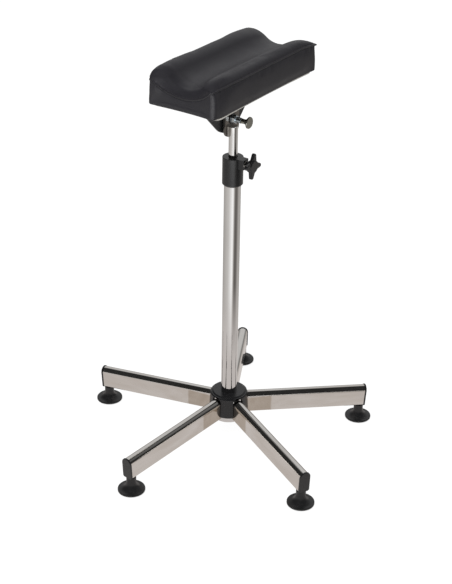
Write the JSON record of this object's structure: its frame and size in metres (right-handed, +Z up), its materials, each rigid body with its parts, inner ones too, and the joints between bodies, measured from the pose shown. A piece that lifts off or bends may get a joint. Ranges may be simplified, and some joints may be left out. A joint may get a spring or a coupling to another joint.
{
  "type": "tattoo arm rest stand",
  "caption": "Free-standing arm rest: star base on bell glides, telescopic chromed column with a star knob, and a tilting padded rest held by a pull pin.",
  "frame": {"origin": "on the column's axis at floor level, in the plane the glides stand on", "axes": "+Z up along the column, X along the pad's long side, -Y towards the height knob and the pull pin"},
  "size_m": [0.5369, 0.5399, 0.766],
  "materials": {
    "chrome": "polished chrome plate",
    "zinc": "zinc plated steel",
    "black_moulding": "fine satin moulding",
    "nylon": "natural nylon",
    "brass": "turned brass",
    "black_steel": "satin black paint",
    "vinyl": "soft black leathercloth",
    "foam": "firm upholstery foam",
    "plywood": "birch plywood",
    "panel": "pale faced board"
  },
  "bodies": {
    "base": {"leg_1": "chrome", "leg_2": "chrome", "leg_3": "chrome", "leg_4": "chrome", "leg_5": "chrome", "leg_cap_1": "black_moulding", "leg_cap_2": "black_moulding", "leg_cap_3": "black_moulding", "leg_cap_4": "black_moulding", "leg_cap_5": "black_moulding", "glide_sockets": "nylon", "hub_ring": "chrome", "hub_top_plate": "zinc", "hub_bottom_plate": "zinc", "column_plug": "zinc", "column_bolt": "zinc", "column_washer": "zinc", "hub_cover": "black_moulding", "column_tube": "chrome", "collar": "black_moulding", "collar_insert": "brass", "guide_bush": "nylon"},
    "glide_1": {"glide_1": "black_moulding", "glide_stem_1": "zinc"},
    "glide_2": {"glide_2": "black_moulding", "glide_stem_2": "zinc"},
    "glide_3": {"glide_3": "black_moulding", "glide_stem_3": "zinc"},
    "glide_4": {"glide_4": "black_moulding", "glide_stem_4": "zinc"},
    "glide_5": {"glide_5": "black_moulding", "glide_stem_5": "zinc"},
    "lock_washer": {"knob_washer": "zinc"},
    "lock_knob": {"height_knob": "black_moulding", "knob_stud": "zinc"},
    "slider": {"rod_guide": "nylon", "guide_screw": "zinc"},
    "rod": {"rod": "chrome", "head_plate": "chrome", "pivot_bolt": "zinc", "pivot_spacer": "zinc", "pivot_washer": "zinc", "pivot_nut": "zinc", "plunger_sleeve": "zinc", "plunger_washer": "black_steel", "plunger_nut": "zinc", "plunger_spring": "zinc"},
    "pull_pin": {"plunger_pin": "zinc", "plunger_knob": "zinc"},
    "pad": {"tilt_bracket": "black_steel", "pivot_bush": "nylon", "bracket_screws": "zinc", "tee_nuts": "zinc", "base_board": "plywood", "under_panel": "panel", "foam_core": "foam", "cover_boxing": "vinyl", "cover_top": "vinyl"}
  },
  "joints": [
    {"name": "glide_1_turn", "type": "hinge", "parent": "base", "child": "glide_1", "pos_m": [0.22935, 0.12246, 0], "axis": [0, 0, 1], "continuous": true},
    {"name": "glide_2_turn", "type": "hinge", "parent": "base", "child": "glide_2", "pos_m": [-0.04559, 0.25597, 0], "axis": [0, 0, 1], "continuous": true},
    {"name": "glide_3_turn", "type": "hinge", "parent": "base", "child": "glide_3", "pos_m": [-0.25753, 0.03574, 0], "axis": [0, 0, 1], "continuous": true},
    {"name": "glide_4_turn", "type": "hinge", "parent": "base", "child": "glide_4", "pos_m": [-0.11357, -0.23389, 0], "axis": [0, 0, 1], "continuous": true},
    {"name": "glide_5_turn", "type": "hinge", "parent": "base", "child": "glide_5", "pos_m": [0.18734, -0.18028, 0], "axis": [0, 0, 1], "continuous": true},
    {"name": "height_slide", "type": "slide", "parent": "base", "child": "slider", "axis": [0, 0, 1], "range_m": [-0.033, 0.25]},
    {"name": "column_swivel", "type": "hinge", "parent": "slider", "child": "rod", "pos_m": [0, 0, 0], "axis": [0, 0, 1], "continuous": true},
    {"name": "pad_tilt", "type": "hinge", "parent": "rod", "child": "pad", "pos_m": [0, 0.012, 0.676], "axis": [0, 1, 0], "range_deg": [-45, 45]},
    {"name": "pin_pull", "type": "slide", "parent": "rod", "child": "pull_pin", "axis": [0, -1, 0], "range_m": [0, 0.008], "stiffness_N_per_m": 800, "springref_m": -0.01, "deforming": ["plunger_spring"]},
    {"name": "knob_travel", "type": "slide", "parent": "base", "child": "lock_washer", "axis": [0, -1, 0], "range_m": [0, 0.0025]},
    {"name": "knob_turn", "type": "hinge", "parent": "lock_washer", "child": "lock_knob", "pos_m": [0, -0.03, 0.565], "axis": [0, -1, 0], "range_deg": [0, 720]}
  ],
  "couplings": [
    {"joint": "knob_turn", "follows": "knob_travel", "rad_per_m": 5026.5}
  ]
}
